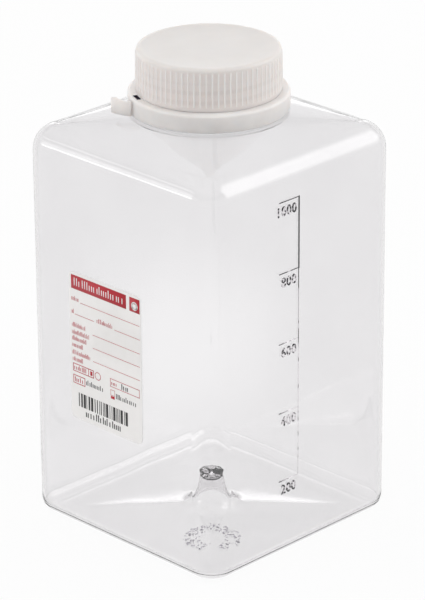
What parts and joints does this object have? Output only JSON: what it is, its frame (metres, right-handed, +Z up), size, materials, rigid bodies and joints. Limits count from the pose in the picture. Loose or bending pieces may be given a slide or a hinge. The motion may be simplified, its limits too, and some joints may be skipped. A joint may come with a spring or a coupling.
{
  "type": "square sampling bottle",
  "caption": "Clear square bottle with a ribbed screw cap, sealing disc, tear-off tamper ring with pull tab, paper label and moulded volume scale.",
  "frame": {"origin": "centre of the base, on the plane that the bottle stands on", "axes": "+Z up along the neck's axis, -Y out of the face with the label, +X out of the face with the volume scale"},
  "size_m": [0.0907, 0.0906, 0.172],
  "materials": {
    "clear_plastic": "clear, polished",
    "label_paper": "matt synthetic paper with red and black print",
    "crystals": "dried clear crystals",
    "disc_foam": "smooth foam",
    "cap_plastic": "translucent natural white, satin",
    "ring_plastic": "translucent natural white, satin"
  },
  "bodies": {
    "bottle": {"bottle": "clear_plastic", "label": "label_paper", "thiosulfate_dose": "crystals"},
    "liner": {"sealing_disc": "disc_foam"},
    "cap": {"screw_cap": "cap_plastic"},
    "ring": {"tamper_ring": "ring_plastic", "bridges": "ring_plastic"},
    "tab": {"pull_tab": "ring_plastic"}
  },
  "joints": [
    {"name": "cap_lift", "type": "slide", "parent": "bottle", "child": "liner", "axis": [0, 0, 1], "range_m": [0, 0.0141]},
    {"name": "cap_turn", "type": "hinge", "parent": "liner", "child": "cap", "pos_m": [0, 0, 0.157], "axis": [0, 0, 1], "range_deg": [0, 1440]},
    {"name": "ring_turn", "type": "hinge", "parent": "bottle", "child": "ring", "pos_m": [0, 0, 0.1537], "axis": [0, 0, 1], "continuous": true},
    {"name": "tab_pull", "type": "hinge", "parent": "ring", "child": "tab", "pos_m": [-0.01102, -0.02596, 0.1535], "axis": [0, 0, 1], "range_deg": [0, 65]}
  ],
  "couplings": [
    {"joint": "cap_lift", "follows": "cap_turn", "m_per_rad": 0.00055704}
  ]
}
